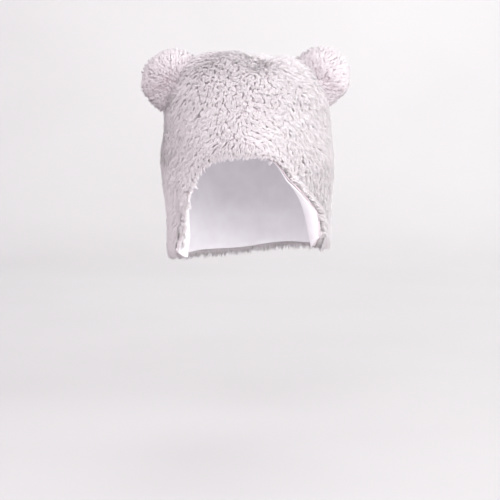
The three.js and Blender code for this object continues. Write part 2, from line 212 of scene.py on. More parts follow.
SWIRL = {"wide": 1.15, "fine": 0.4, "lock": 0.3, "tuft": 0.12, "combed_out": 0.85, "hem_calms": 0.9}
OVER_EDGE = {"step": 0.8, "share": 0.85, "down_brow": 0.25, "down_flap": 0.85, "lock": 0.7}
FRINGE = {"right": 0.3, "left": 0.85, "down": 0.3, "lock": 0.4}  # lip of a flap that turns in to the face
FRINGE_WAY = np.array([-0.75, -0.66, 0])  # on the right
TIP_OVER = {"brow": 0.3, "flap": 0.7, "edge": (0.2, 1.0), "lip": (0.1, 0.5), "hem_less": 0.5}

PILE_HEIGHT = {"lock": (0.9, 1.0), "tuft": (0.9, 1.05), "lip_less": 0.25, "hem_less": 0.3, "noise": 0.1}
FLAP_DRIFT = 2.4  # the pile of the flaps is so much thicker on the right, in millimetres
FLAP_DRIFT_LEFT = 0.4  # and thinner by this share of it on the left
FLAP_DRIFT_TOP = -105
FLAP_DRIFT_FADE = 40
STRAYS = {"share": 0.16, "taller": 0.14, "lean_less": 0.25, "free": 0.8}

TUFT_LEAN = 8.2  # how far a tip lies from its root along the cloth, in millimetres
LEAN = {
    "tuft": (0.6, 1.15), "hem_more": 0.25, "brow_less": 0.3, "left_flap_less": 0.05, "right_flap_less": 0.45,
}
HEM_SHORTER = {"front": 0.45, "right": 0.3, "from": 1.2, "slope": 2}  # on the flaps, least on the right
GATHERED = {"share": 0.46, "hem_less": 0.95}
# The last two are painted light: the pile is paler at the back hem, seen from inside, and on the lower left
# flap, standing in for light that doesn't reach them
TONE = {"middle": 0.52, "noise": 0.18, "lock": 0.11, "tuft": 0.08, "painted_light_hem_behind": 0.3, "painted_light_left_flap": 0.2}
TUFT_WIDTHS = (0.75, 1.25)
FREE_ENDS = {"from": 0.7, "least": 0.4, "lean": 2, "shade": 3}  # ends past the hem, seen from both sides
LEFT_FLAP_SHADE = 0.8

EAR_SEED = 200
EAR_TUFTS = 13600
EAR_TUFT_WIDTH = 0.72
EAR_TUFT_WIDTHS = (0.75, 1.2)
EAR_SIDES = (1, 1.25, 1)  # a few more tufts on the front and the back
EAR_ROOTED = 0.9  # share of the way to the seam with roots
EAR_SEAM_REACH = 7
EAR_SWIRL = {"noise": 0.7, "lock": 0.4, "tuft": 0.15}
EAR_LEAN = {"most": 5.2, "tuft": (0.5, 1.1), "top": 1.1, "fall_off": 12, "least": 0.35}
EAR_HEIGHT = {"lock": (0.84, 1.04), "tuft": (0.9, 1.04), "seam_less": 0.25, "noise": 0.16}
# The ears' middle tone, lower than the body's, is painted shade, and seam_less darkens the pile towards the
# seam as painted shade in the crease
EAR_TONE_AND_PAINTED_SHADE = {"middle": -0.02, "noise": 0.15, "lock": 0.1, "tuft": 0.08, "seam_less": 0.5}
EAR_STRAYS = {"share": 0.15, "taller": 0.14, "free": 0.8}
EAR_GATHERED = 0.62


# ---------------------------------------------------------------- the surface of the cloth

def smooth(column, row):
    """A table's column at row numbers that may fall between two rows (Catmull-Rom)."""
    last = len(column) - 1
    place = np.clip(row, 0, last)
    low = np.minimum(np.floor(place).astype(int), last - 1)
    t = place - low
    a, b, c, d = (column[np.clip(low + k, 0, last)] for k in (-1, 0, 1, 2))
    slope_b = (c - a) / 2
    slope_c = (d - b) / 2
    rise = c - b
    return b + t * (slope_b + t * (3 * rise - 2 * slope_b - slope_c + t * (slope_b + slope_c - 2 * rise)))


def fade(distance, reach):
    """1 at no distance, and about a third at the reach."""
    return np.exp(-((distance / reach) ** 2))


def mix(a, b, t):
    return a + (b - a) * t


def unit(v):
    return v / np.maximum(np.linalg.norm(v, axis=-1, keepdims=True), 1e-12)


def dot(a, b):
    return (a * b).sum(-1)


MIRRORED_TOP = SECTIONS[1] * (1, -1, -1, -1, 1)
CROWN = np.vstack([MIRRORED_TOP, SECTIONS])


def section(fall, column):
    """A measure of the cloth so many rows below the top of the crown."""
    return smooth(CROWN[:, SECTION_COLUMNS.index(column)], np.asarray(fall, float) + 1)


FALLS = np.linspace(0, LAST_ROW, SAMPLES["fall"])
HEIGHTS = np.minimum.accumulate(section(FALLS, "height"))


def fall_at(height):
    return np.interp(-np.asarray(height, float), -HEIGHTS, FALLS)


def hem_height(azimuth):
    height = HEM_HEIGHT + HEM_SIDE_TILT * np.sin(azimuth) + HEM_FRONT_TILT * np.cos(azimuth)
    height = height + HEM_WAVE * np.sin(HEM_WAVES * azimuth + HEM_WAVE_START)
    for corner in HEM_CORNERS:
        away = azimuth - math.radians(corner["azimuth"])
        height = height + corner["rise"] * fade(away, math.radians(corner["reach"]))
    return height


def dome(azimuth, fall):
    """The plain dome, before dents and turned flaps."""
    ahead = np.cos(azimuth) > 0
    depth = np.where(ahead, section(fall, "front"), section(fall, "back"))
    x = section(fall, "side") * np.sin(azimuth)
    return np.stack([x, -depth * np.cos(azimuth), section(fall, "height")], -1)


def dome_steps(azimuth, fall):
    """Twice a thousandth of a radian round the dome, and twice a thousandth of a row down it."""
    step = 1e-3
    around = dome(azimuth + step, fall) - dome(azimuth - step, fall)
    down = dome(azimuth, fall + step) - dome(azimuth, fall - step)
    return around, down, (2 * step) ** 2


def dome_frame(azimuth, fall):
    """The outward way and the way round the hat, on the plain dome."""
    around, down, _ = dome_steps(azimuth, np.maximum(fall, TOP_ROW))
    around = unit(around)
    return unit(np.cross(down, around)), around


def dent_depth(points):
    depth = np.zeros(len(points))
    for dent in DENTS:
        start = np.array(dent["start"], float)
        line = np.array(dent["end"], float) - start
        t = np.clip(dot(points - start, line) / dot(line, line), 0, 1)
        away = np.linalg.norm(points - start - t[:, None] * line, axis=1)
        depth += dent["depth"] * fade(away, dent["reach"])
    return depth


def opening(row, column):
    return smooth(OPENING[:, OPENING_COLUMNS.index(column)].astype(float), row)


EDGE_ROWS = np.linspace(0, len(OPENING) - 1, SAMPLES["edge"])
EDGE_ALONG = np.radians(opening(EDGE_ROWS, "azimuth")) * UNROLLED_RADIUS
EDGE = np.stack([EDGE_ALONG, opening(EDGE_ROWS, "height")], -1)


def nearest_edge(azimuth, height):
    """Distance to the edge of the opening, the row in its table, and the way into the cloth, unrolled."""
    here = np.stack([azimuth * UNROLLED_RADIUS, height], -1)
    best = np.full(len(here), np.inf)
    row = np.zeros(len(here))
    inward = np.zeros((len(here), 2))
    for k in range(len(EDGE) - 1):
        along = EDGE[k + 1] - EDGE[k]
        t = np.clip(((here - EDGE[k]) @ along) / (along @ along), 0, 1)
        away = np.linalg.norm(here - EDGE[k] - t[:, None] * along, axis=1)
        nearer = away < best
        best[nearer] = away[nearer]
        row[nearer] = (EDGE_ROWS[k] + t * (EDGE_ROWS[k + 1] - EDGE_ROWS[k]))[nearer]
        inward[nearer] = (along[1], -along[0]) / np.linalg.norm(along)
    return best, row, inward


def in_opening(azimuth, height):
    """Whether points of the dome lie in the face opening."""
    x = azimuth * UNROLLED_RADIUS
    inside = np.zeros(len(x), bool)
    corners = np.vstack([EDGE, EDGE[:1]])
    for (x0, y0), (x1, y1) in zip(corners[:-1], corners[1:]):
        if y0 != y1:
            crosses = (height > min(y0, y1)) & (height <= max(y0, y1))
            inside ^= crosses & (x < x0 + (height - y0) * (x1 - x0) / (y1 - y0))
    return inside


def cloth(azimuth, fall):
    """The cloth: the dome with its dents, and with the front edges of the flaps turned outward."""
    azimuth = np.asarray(azimuth, float)
    fall = np.asarray(fall, float)
    points = dome(azimuth, fall)
    points = points - dome_frame(azimuth, fall)[0] * dent_depth(points)[:, None]
    height = section(fall, "height")
    near = np.flatnonzero((np.cos(azimuth) > TURNS_AHEAD) & (height < TURNS_BELOW))
    if not len(near):
        return points
    distance, row, inward = nearest_edge(azimuth[near], height[near])
    length = opening(row, "length")
    turn = np.radians(np.maximum(opening(row, "turn"), 0))
    turned = length - distance
    moved = (turned > 0) & (turn > 1e-3)
    near, inward, length, turn, turned = (a[moved] for a in (near, inward, length, turn, turned))
    radius = length / turn
    angle = turned / radius
    anchor_azimuth = azimuth[near] + inward[:, 0] * turned / UNROLLED_RADIUS
    anchor_fall = fall_at(height[near] + inward[:, 1] * turned)
    outward, around = dome_frame(anchor_azimuth, anchor_fall)
    above = np.cross(outward, around)
    inside = around * inward[:, :1] + above * inward[:, 1:]
    points[near] += inside * (turned - radius * np.sin(angle))[:, None]
    points[near] += outward * (radius * (1 - np.cos(angle)))[:, None]
    return points


def cloth_frame(azimuth, fall):
    """The cloth's points, its outward way, and its way down from the crown."""
    azimuth = np.asarray(azimuth, float)
    low = np.maximum(np.asarray(fall, float), 0.03)
    step = 4e-3
    around = cloth(azimuth + step, low) - cloth(azimuth - step, low)
    down = cloth(azimuth, low + step) - cloth(azimuth, low - step)
    outward = unit(np.cross(down, around))
    outward[np.asarray(fall) < 0.05] = (0, 0, 1)
    return cloth(azimuth, fall), outward, unit(down)


# ---------------------------------------------------------------- grids of the two panels

def edge_between_corners(steps):
    """The edge of the opening between the two front corners, in steps of equal length."""
    rows = np.linspace(0, len(OPENING) - 1, SAMPLES["corners"])
    azimuth = np.radians(opening(rows, "azimuth"))
    height = opening(rows, "height")
    above = np.flatnonzero(height > hem_height(azimuth))
    kept = slice(above[0], above[-1] + 1)
    line = np.stack([azimuth[kept] * UNROLLED_RADIUS, height[kept]], -1)
    length = np.concatenate([[0], np.cumsum(np.linalg.norm(np.diff(line, axis=0), axis=1))])
    wanted = np.linspace(0, length[-1], steps + 1)
    return np.stack([np.interp(wanted, length, line[:, k]) for k in (0, 1)], -1)


def front_grid(seam_steps, front_steps):
    """Azimuth and fall of the front panel's points: lines from the opening to the seam."""
    edge = edge_between_corners(2 * seam_steps)
    to_crown = np.abs(np.arange(2 * seam_steps + 1) - seam_steps)[:, None] / seam_steps
    seam_azimuth = np.where(np.arange(2 * seam_steps + 1) <= seam_steps, 1, -1)[:, None] * math.pi / 2
    seam_fall = fall_at(hem_height(seam_azimuth)) * to_crown
    edge_azimuth = edge[:, :1] / UNROLLED_RADIUS
    edge_fall = fall_at(edge[:, 1:])
    t = (np.arange(front_steps + 1) / front_steps)[None] ** SEAM_CROWDING
    round_azimuth = mix(edge_azimuth, seam_azimuth, t)
    round_fall = mix(edge_fall, seam_fall, t)
    for j in (0, -1):
        round_fall[j] = fall_at(hem_height(round_azimuth[j]))
    way = np.clip((to_crown - ROUND_FROM) / ROUND_OVER, 0, 1)
    roundness = way * way * (3 - 2 * way)
    x = mix(mix(edge_fall * np.sin(edge_azimuth), seam_fall * np.sign(seam_azimuth), t),
            round_fall * np.sin(round_azimuth), roundness)
    y = mix(mix(edge_fall * np.cos(edge_azimuth), 0, t), round_fall * np.cos(round_azimuth), roundness)
    azimuth = np.arctan2(x, y)
    azimuth[:, -1:] = seam_azimuth
    return azimuth, np.hypot(x, y)


def back_grid(seam_steps, back_steps):
    azimuth = np.radians(90 + 180 * np.arange(back_steps + 1) / back_steps)[:, None]
    share = (np.arange(seam_steps + 1) / seam_steps)[None]
    return np.repeat(azimuth, seam_steps + 1, 1), fall_at(hem_height(azimuth)) * share


def patch(grids):
    """Points and faces of joined grids; points at one place are shared."""
    params, faces, offset = [], [], 0
    for azimuth, fall in grids:
        index = np.arange(azimuth.size).reshape(azimuth.shape) + offset
        quads = np.stack([index[:-1, :-1], index[1:, :-1], index[1:, 1:], index[:-1, 1:]], -1)
        faces.append(quads.reshape(-1, 4))
        params.append(np.stack([azimuth.ravel(), fall.ravel()], -1))
        offset += azimuth.size
    params = np.vstack(params)
    places = np.stack([params[:, 1] * np.sin(params[:, 0]), params[:, 1] * np.cos(params[:, 0])], -1)
    _, first, same = np.unique(np.round(places, 5) + 0.0, axis=0, return_index=True, return_inverse=True)
    merged = same.reshape(-1)[np.vstack(faces)]
    polygons = [list(dict.fromkeys(face)) for face in merged.tolist()]
    return params[first], [p for p in polygons if len(p) > 2]


def border(faces):
    """The edges that only one face uses, in order."""
    used = {(a, b) for face in faces for a, b in zip(face, face[1:] + face[:1])}
    following = {a: b for a, b in used if (b, a) not in used}
    loop = [min(following)]
    while len(loop) < len(following):
        loop.append(following[loop[-1]])
    return loop


# ---------------------------------------------------------------- making objects

def add_object(name, mesh, material):
    mesh.materials.append(material)
    piece = bpy.data.objects.new(name, mesh)
    bpy.context.collection.objects.link(piece)
    return piece


def smooth_object(name, vertices, faces, material):
    mesh = bpy.data.meshes.new(name)
    mesh.from_pydata((np.asarray(vertices) * MM).tolist(), [], faces)
    mesh.validate()
    mesh.shade_smooth()
    return add_object(name, mesh, material)


def relax(values, faces, fixed, rounds):
    """Averages the values of points with their neighbours', a few times over."""
    pairs = np.array([(a, b) for face in faces for a, b in zip(face, face[1:] + face[:1])])
    pairs = np.vstack([pairs, pairs[:, ::-1]])
    share = np.bincount(pairs[:, 0], minlength=len(values))[:, None]
    for _ in range(rounds):
        total = np.zeros_like(values)
        np.add.at(total, pairs[:, 0], values[pairs[:, 1]])
        values = np.where(fixed[:, None], values, mix(values, total / share, 0.5))
    return values


def wall(name, params, faces, outer, inner, rim_reach, material):
    """A closed wall on a patch, between two distances from the cloth, with a rounded rim."""
    points, outward, _ = cloth_frame(params[:, 0], params[:, 1])
    loop = border(faces)
    on_border = np.zeros(len(points), bool)
    on_border[loop] = True
    points = relax(points, faces, on_border, rounds=8)
    outward = relax(outward, faces, np.zeros(len(points), bool), rounds=10)
    on_seam = on_border & (np.abs(np.cos(params[:, 0])) < 1e-9)
    points[on_seam, 1] = 0
    outward[on_seam, 1] = 0
    outward = unit(outward)
    vertices = [points + outward * outer[:, None], points + outward * inner[:, None]]
    count = len(points)
    polygons = [list(f) for f in faces] + [[k + count for k in reversed(f)] for f in faces]
    neighbours = {k: [] for k in loop}
    for face in faces:
        for k in face:
            if k in neighbours:
                neighbours[k].extend(face)
    rims = []
    extra = []
    for k in loop:
        way = points[k] - points[neighbours[k]].mean(0)
        way = way - outward[k] * (way @ outward[k])
        way = unit(way) * rim_reach * (0 if on_seam[k] and params[k, 1] < CROWN_ROWS else 1)
        rim = [k]
        for r in range(1, RIM_STEPS):
            angle = math.pi * r / RIM_STEPS
            place = mix(vertices[0][k], vertices[1][k], (1 - math.cos(angle)) / 2) + way * math.sin(angle)
            rim.append(2 * count + len(extra))
            extra.append(place)
        rims.append(rim + [k + count])
    for rim, other in zip(rims, rims[1:] + rims[:1]):
        for r in range(RIM_STEPS):
            polygons.append([other[r], rim[r], rim[r + 1], other[r + 1]])
    vertices.append(np.array(extra))
    return smooth_object(name, np.vstack(vertices), polygons, material)


def wave_noise(points, name, seed=0):
    """Soft noise from about -1 to 1, as a sum of seeded waves."""
    size, own_seed = NOISES[name]
    waves = np.random.default_rng(seed + own_seed)
    number = WAVES["number"]
    ways = unit(waves.normal(size=(number, 3))) * (2 * math.pi / size)
    ways = ways * waves.uniform(*WAVES["lengths"], (number, 1))
    starts = waves.uniform(0, 2 * math.pi, number)
    return np.sin(points @ ways.T + starts).mean(1) * WAVES["height"]


# ---------------------------------------------------------------- the pile

def locks(roots, seed):
    """The number of the lock that each tuft belongs to, and the tuft that leads each lock."""
    leaders = np.random.default_rng(seed).permutation(len(roots))[:max(len(roots) // CLUMP, 1)]
    tree = kdtree.KDTree(len(leaders))
    for number, k in enumerate(leaders):
        tree.insert(Vector(roots[k]), number)
    tree.balance()
    return np.array([tree.find(Vector(root))[1] for root in roots]), leaders


def gather(roots, tips, lead, amount):
    """Draws the tips of the tufts of a lock together, mostly sideways."""
    way = unit(tips[lead] - roots[lead])
    apart = roots - roots[lead]
    lengthwise = way * dot(apart, way)[:, None]
    return mix(tips, tips[lead] + lengthwise * LOCK_LENGTH + (apart - lengthwise) * LOCK_WIDTH, amount)


def tufts(name, roots, outward, lean, height, width, tone, material, lead, gathered, nap, own_shade):
    """One joined mesh of three-sided tufts: each widens from its root to a bend and tapers to its tip."""
    count = len(roots)
    rise = outward * height[:, None]
    tips = gather(roots, roots + rise + lean, lead, gathered[:, None])
    bend = roots + rise * BEND_HEIGHT + (tips - roots - rise) * BEND_LEAN
    side = unit(np.cross(bend - roots, outward + lean * SIDE_LEAN + TINY))
    other = unit(np.cross(side, bend - roots))
    corners = [roots - outward * TUFT_ROOT]
    normals = [nap]
    for k in range(3):
        angle = 2 * math.pi * k / 3
        sideways = side * math.cos(angle) + other * math.sin(angle)
        corners.append(bend + sideways * (width / 2)[:, None])
        normals.append(unit(nap + sideways * own_shade[:, None]))
    corners.append(tips)
    normals.append(nap)
    vertices = np.stack(corners, 1).reshape(-1, 3)
    following = (2, 3, 1)
    sides = [(0, k + 1, following[k]) for k in range(3)] + [(k + 1, 4, following[k]) for k in range(3)]
    loops = (np.arange(count)[:, None] * len(corners) + np.array(sides).ravel()).ravel()
    mesh = bpy.data.meshes.new(name)
    mesh.vertices.add(len(vertices))
    mesh.vertices.foreach_set("co", (vertices * MM).astype(np.float32).ravel())
    mesh.loops.add(len(loops))
    mesh.loops.foreach_set("vertex_index", loops.astype(np.int32))
    mesh.polygons.add(len(loops) // 3)
    mesh.polygons.foreach_set("loop_start", np.arange(0, len(loops), 3, dtype=np.int32))
    mesh.update(calc_edges=True)
    mesh.shade_smooth()
    mesh.normals_split_custom_set_from_vertices(np.stack(normals, 1).reshape(-1, 3))
    add_bake_map(mesh, count)
    for label, values in (("tone", np.repeat(tone, len(corners))), ("along", np.tile(ALONG, count))):
        mesh.attributes.new(label, "FLOAT", "POINT").data.foreach_set("value", values.astype(np.float32))
    return add_object(name, mesh, material)


def add_bake_map(mesh, count):
    """A square of the map for each tuft: its sides side by side, the roots down and the tips up."""
    cells = math.ceil(math.sqrt(count))
    root, bend, tip = 0.06, 0.5, 0.94
    columns = [(0.08 + 0.28 * k, 0.22 + 0.28 * k, 0.36 + 0.28 * k) for k in range(3)]
    shape = []
    for left, middle, right in columns:
        shape += [(middle, root), (left, bend), (right, bend)]
    for left, middle, right in columns:
        shape += [(left, bend), (middle, tip), (right, bend)]
    cell = np.stack([np.arange(count) % cells, np.arange(count) // cells], -1)
    uv = (cell[:, None] + np.array(shape)[None]) / cells
    mesh.uv_layers.new(name="OFBake").data.foreach_set("uv", uv.astype(np.float32).ravel())


def scatter(density, azimuth_range, seed):
    """Roots spread by area over part of the dome, closer together along the hem and the opening."""
    seeded = np.random.default_rng(seed)
    azimuths = np.linspace(*np.radians(azimuth_range), SAMPLES["azimuth_cells"])
    falls = np.linspace(TOP_ROW, LAST_ROW, SAMPLES["fall_cells"])
    middles = np.meshgrid((azimuths[1:] + azimuths[:-1]) / 2, (falls[1:] + falls[:-1]) / 2)
    flat_azimuth, flat_fall = (middle.ravel() for middle in middles)
    around, down, unit_area = dome_steps(flat_azimuth, flat_fall)
    height = section(flat_fall, "height")
    above_hem = height - hem_height(flat_azimuth)
    cell = (azimuths[1] - azimuths[0]) * (falls[1] - falls[0]) / unit_area
    area = np.linalg.norm(np.cross(around, down), axis=1) * cell
    area[(above_hem < 0.5) | in_opening(flat_azimuth, height)] = 0
    area *= 1 + HEM_CROWDING["more"] * fade(above_hem, HEM_CROWDING["reach"])
    by_edge = fade(nearest_edge(flat_azimuth, height)[0], EDGE_CROWDING["reach"])
    area *= 1 + EDGE_CROWDING["more"] * by_edge * (np.cos(flat_azimuth) > 0)
    cells = seeded.choice(len(area), int(area.sum() * density), p=area / area.sum())
    azimuth = flat_azimuth[cells] + (seeded.random(len(cells)) - 0.5) * (azimuths[1] - azimuths[0])
    fall = flat_fall[cells] + (seeded.random(len(cells)) - 0.5) * (falls[1] - falls[0])
    return azimuth, np.maximum(fall, TOP_ROW)


def panel_pile(part, seed, material):
    """The pile of one part of a panel, combed down, swirled, and laid over the edges."""
    seeded = np.random.default_rng(seed)
    azimuth, fall = scatter(part["density"] * TUFT_SHARE, part["azimuths"], seed)
    count = len(azimuth)
    points, outward, down = cloth_frame(azimuth, fall)
    around = np.cross(outward, down)
    height = section(fall, "height")

    # Where each tuft is: near the edge of the opening, near the hem, on a flap
    distance, _, inward = nearest_edge(azimuth, height)
    ahead = np.cos(azimuth) > 0
    down_flap = np.clip((FLAP_TOP - height) / FLAP_FADE, 0, 1)
    by_edge = fade(distance, EDGE_REACH) * ahead
    at_edge = fade(distance, mix(*TIP_REACH, down_flap)) * ahead
    lip = fade(distance, LIP_REACH) * ahead
    by_hem = fade(height - hem_height(azimuth), HEM_REACH)
    near_hem = by_hem ** HEM_SPREAD
    left_front = np.clip(2 * np.cos(azimuth), 0, 1) * (azimuth < 0)
    behind = np.clip(-2 * np.cos(azimuth), 0, 1)
    fringed = np.where(azimuth > 0, FRINGE["right"], FRINGE["left"]) * down_flap

    lock, leaders = locks(points, seed + 1)
    lock_turn, lock_tone = seeded.normal(0, 1, (2, len(leaders)))[:, lock]
    lock_turn = lock_turn * (1 - SWIRL["hem_calms"] * near_hem)
    lock_height = seeded.uniform(*PILE_HEIGHT["lock"], len(leaders))[lock]

    # The way that each tuft leans
    swirl = SWIRL["wide"] * wave_noise(points, "wide_swirl")
    swirl = swirl + SWIRL["fine"] * wave_noise(points, "fine_swirl")
    angle = swirl * (1 - SWIRL["combed_out"] * np.maximum(by_edge, near_hem))
    angle = angle + SWIRL["lock"] * lock_turn + seeded.normal(0, SWIRL["tuft"], count)
    way = down * np.cos(angle)[:, None] + around * np.sin(angle)[:, None]
    step = OVER_EDGE["step"]
    further_in = cloth(azimuth + inward[:, 0] * step / UNROLLED_RADIUS, fall_at(height + inward[:, 1] * step))
    to_edge = unit(points - further_in)
    over_edge = to_edge + down * (OVER_EDGE["down_brow"] + OVER_EDGE["down_flap"] * down_flap)[:, None]
    over_edge += down * (OVER_EDGE["lock"] * lock_turn)[:, None]
    to_face = FRINGE_WAY * np.where(points[:, :1] > 0, (1, 1, 1), (-1, 1, 1))
    to_face = to_face + down * (FRINGE["down"] + FRINGE["lock"] * lock_turn)[:, None]
    over_edge = mix(over_edge, to_face, (lip * fringed)[:, None])
    way = unit(mix(way, over_edge, (OVER_EDGE["share"] * by_edge)[:, None]))

    # The way that each tuft stands up, tipped over the edge of the opening
    over_lip = at_edge * seeded.uniform(*TIP_OVER["edge"], count)
    over_lip = over_lip + lip * seeded.uniform(*TIP_OVER["lip"], count)
    tip_over = TIP_OVER["brow"] + TIP_OVER["flap"] * down_flap
    tilt = (over_lip * tip_over * (1 - TIP_OVER["hem_less"] * by_hem))[:, None]
    over = unit(mix(to_edge, unit(to_face), fringed[:, None]))
    outward = unit(outward * np.cos(tilt) + over * np.sin(tilt))

    # Its height and the length of its lean
    thicker = np.maximum(np.sin(azimuth), FLAP_DRIFT_LEFT * np.sin(azimuth))
    drift = FLAP_DRIFT * thicker * np.clip((FLAP_DRIFT_TOP - height) / FLAP_DRIFT_FADE, 0, 1)
    pile = (section(fall, "pile") + drift) * lock_height * seeded.uniform(*PILE_HEIGHT["tuft"], count)
    pile = pile * (1 - PILE_HEIGHT["lip_less"] * lip)
    uneven = 1 + PILE_HEIGHT["noise"] * wave_noise(points, "pile_height")
    pile *= uneven * (1 - PILE_HEIGHT["hem_less"] * by_hem)
    stray = seeded.random(count) < STRAYS["share"]
    pile *= 1 + STRAYS["taller"] * stray
    reach = TUFT_LEAN * seeded.uniform(*LEAN["tuft"], count) * (1 - STRAYS["lean_less"] * stray)
    reach *= 1 + LEAN["hem_more"] * by_hem
    shorter = (HEM_SHORTER["front"] - HEM_SHORTER["right"] * np.sin(azimuth)) * by_hem
    reach *= 1 - shorter * np.clip(HEM_SHORTER["from"] + HEM_SHORTER["slope"] * np.cos(azimuth), 0, 1)
    flap_less = np.where(azimuth > 0, LEAN["right_flap_less"], LEAN["left_flap_less"])
    reach *= 1 - by_edge * mix(LEAN["brow_less"], flap_less, down_flap)

    # Its looks
    tone = TONE["middle"] + TONE["noise"] * wave_noise(points, "pile_tone") + TONE["lock"] * lock_tone
    tone = tone + seeded.normal(0, TONE["tuft"], count)
    # Painted light: paler pile at the back hem seen from inside, and on the lower left flap
    tone += TONE["painted_light_hem_behind"] * by_hem * behind + TONE["painted_light_left_flap"] * down_flap * left_front
    width = part["width"] * seeded.uniform(*TUFT_WIDTHS, count) / math.sqrt(TUFT_SHARE)
    gathered = GATHERED["share"] * (1 - GATHERED["hem_less"] * near_hem) * (1 - STRAYS["free"] * stray)
    free = by_hem * np.clip(FREE_ENDS["from"] - np.cos(azimuth), FREE_ENDS["least"], 1)
    nap = unit(outward + way * (NAP_LEAN + FREE_ENDS["lean"] * free)[:, None])
    own_shade = OWN_SHADE + FREE_ENDS["shade"] * free + LEFT_FLAP_SHADE * down_flap * left_front
    return tufts(part["name"], points, outward, way * reach[:, None], pile, width, tone, material,
                 leaders[lock], gathered, nap, own_shade)


def ear_axes(ear):
    slant = math.radians(ear["slant"])
    outward = np.array([ear["side"] * math.cos(slant), 0, math.sin(slant)])
    along = np.array([-outward[2], 0, outward[0]])
    return np.array([ear["side"] * ear["across"], 0, ear["up"]]), along, outward


def ear_surface(ear, ways, less):
    """Points of an ear in unit directions (along the seam, front to back, away from the seam)."""
    middle, along, outward = ear_axes(ear)
    below = ways[:, 2] < 0
    flat = np.hypot(ways[:, 0], ways[:, 1])
    even = np.where(below, 1 / np.maximum(flat, 0.2), 1)[:, None]
    across = ways[:, :2] * (1 + (even - 1) * EAR_NECK)
    a = across[:, 0] * (ear["width"] - less)
    b = np.sign(across[:, 1]) * np.abs(across[:, 1]) ** EAR_FLATNESS * (ear["depth"] - less)
    c = np.where(below, ways[:, 2] * EAR_ROOT, ways[:, 2] * (ear["reach"] - less))
    return middle + a[:, None] * along + b[:, None] * np.array([0, 1, 0]) + c[:, None] * outward, c


def ear_pad(name, ear, material):
    """The stuffed cloth of an ear under its pile."""
    rings, segments = EAR_STEPS["rings"], EAR_STEPS["segments"]
    ways, faces = [(0, 0, 1)], []
    for r in range(1, rings):
        polar = math.pi * r / rings
        for s in range(segments):
            turn = 2 * math.pi * s / segments
            ways.append((math.sin(polar) * math.cos(turn), math.sin(polar) * math.sin(turn), math.cos(polar)))
    ways.append((0, 0, -1))

    def point(r, s):
        return 1 + (r - 1) * segments + s % segments

    for s in range(segments):
        faces.append([0, point(1, s), point(1, s + 1)])
        faces.append([len(ways) - 1, point(rings - 1, s + 1), point(rings - 1, s)])
        for r in range(1, rings - 1):
            faces.append([point(r, s), point(r + 1, s), point(r + 1, s + 1), point(r, s + 1)])
    points, _ = ear_surface(ear, np.array(ways), EAR_PILE * EAR_PAD_DEPTH)
    lumps = wave_noise(points, "ear_lumps")
    points = points + unit(points - ear_axes(ear)[0]) * lumps[:, None] * EAR_PAD_LUMPS
    piece = smooth_object(name, points, faces, material)
    return piece


def ear_pile(name, ear, seed, material):
    """The pile of an ear, which leans away from the seam."""
    seeded = np.random.default_rng(seed)
    wanted = int(EAR_TUFTS * TUFT_SHARE)
    ways = unit(seeded.normal(size=(wanted * 2, 3)) * EAR_SIDES)
    roots, c = ear_surface(ear, ways, EAR_PILE)
    kept = np.flatnonzero(c > -EAR_ROOT * EAR_ROOTED)[:wanted]
    roots, ways = roots[kept], ways[kept]
    count = len(roots)
    by_seam = fade(c[kept], EAR_SEAM_REACH)
    middle, along, outward = ear_axes(ear)
    flat = ways * tuple(1 / (ear[side] - EAR_PILE) for side in ("width", "depth", "reach"))
    normal = unit(flat[:, :1] * along + flat[:, 1:2] * np.array([0, 1, 0]) + flat[:, 2:] * outward)
    away = roots - (middle - outward * EAR_ROOT)
    lean = unit(away - normal * dot(away, normal)[:, None])
    sideways = np.cross(normal, lean)
    lock, leaders = locks(roots, seed + 1)
    lock_turn, lock_tone = seeded.normal(0, 1, (2, len(leaders)))[:, lock]
    lock_height = seeded.uniform(*EAR_HEIGHT["lock"], len(leaders))[lock]
    swirl = EAR_SWIRL["noise"] * wave_noise(roots, "ear_swirl", seed) + EAR_SWIRL["lock"] * lock_turn
    swirl = swirl + seeded.normal(0, EAR_SWIRL["tuft"], count)
    way = lean * np.cos(swirl)[:, None] + sideways * np.sin(swirl)[:, None]
    off_top = np.abs(flat @ (0, 0, 1)) * EAR_LEAN["fall_off"]
    reach = EAR_LEAN["most"] * seeded.uniform(*EAR_LEAN["tuft"], count)
    reach = reach * np.clip(EAR_LEAN["top"] - off_top, EAR_LEAN["least"], 1)
    # Painted shade: the ears' tone is set lower than the body's
    tone = EAR_TONE_AND_PAINTED_SHADE["middle"] + EAR_TONE_AND_PAINTED_SHADE["noise"] * wave_noise(roots, "ear_tone")
    tone = tone + EAR_TONE_AND_PAINTED_SHADE["lock"] * lock_tone
    # Painted shade in the crease: the pile darkens towards the seam
    tone = tone + seeded.normal(0, EAR_TONE_AND_PAINTED_SHADE["tuft"], count) - EAR_TONE_AND_PAINTED_SHADE["seam_less"] * by_seam
    height = EAR_PILE * lock_height * seeded.uniform(*EAR_HEIGHT["tuft"], count)
    height = height * (1 - EAR_HEIGHT["seam_less"] * by_seam)
    height *= 1 + EAR_HEIGHT["noise"] * wave_noise(roots, "ear_height", seed)
    width = EAR_TUFT_WIDTH * seeded.uniform(*EAR_TUFT_WIDTHS, count) / math.sqrt(TUFT_SHARE)
    stray = seeded.random(count) < EAR_STRAYS["share"]
    height *= 1 + EAR_STRAYS["taller"] * stray
    gathered = EAR_GATHERED * (1 - EAR_STRAYS["free"] * stray)
    nap = unit(normal + way * NAP_LEAN)
    return tufts(name, roots, normal, way * reach[:, None], height, width, tone, material,
                 leaders[lock], gathered, nap, np.full(count, OWN_SHADE))


# ---------------------------------------------------------------- materials

def new_material(name, sockets):
    material = bpy.data.materials.new(name)
    material.use_nodes = True
    nodes = material.node_tree.nodes
    shader = nodes["Principled BSDF"]
    for socket, value in sockets.items():
        shader.inputs[socket].default_value = value
    return material, nodes, material.node_tree.links, shader


